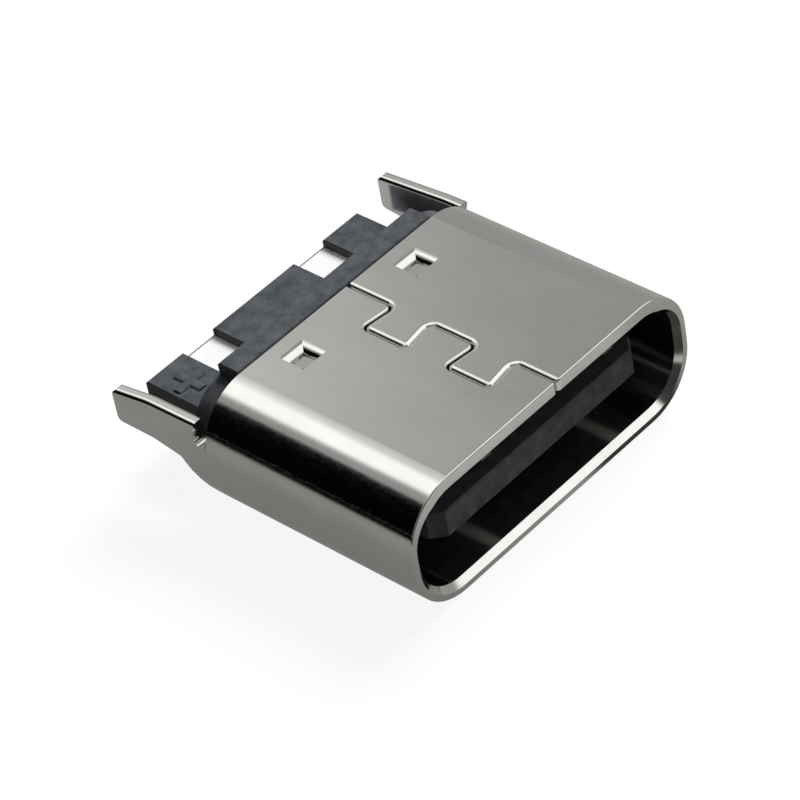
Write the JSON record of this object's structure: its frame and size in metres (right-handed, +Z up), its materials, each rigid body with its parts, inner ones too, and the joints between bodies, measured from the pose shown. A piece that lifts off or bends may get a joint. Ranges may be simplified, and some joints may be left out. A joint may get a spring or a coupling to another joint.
{
  "type": "usb-c socket",
  "caption": "Charging-only reversible socket: rolled metal shell with dovetailed seam and side ears, black moulding with tongue, and solder pads at the rear.",
  "frame": {"origin": "on the shell's flat bottom, under the middle of the mouth's width and halfway along the socket's length", "axes": "+Z up from the shell's bottom to its seamed top, -Y out of the mouth, +Y to the solder pads, +X to the right when looking into the mouth"},
  "size_m": [0.0091, 0.0088, 0.0032],
  "materials": {
    "plated_shell": "satin nickel plate",
    "black_moulding": "matt, fine grain",
    "tinned_copper": "bright tin plate"
  },
  "bodies": {
    "root": {"shell": "plated_shell", "housing": "black_moulding", "power_terminal": "tinned_copper", "ground_terminal": "tinned_copper"}
  },
  "joints": []
}
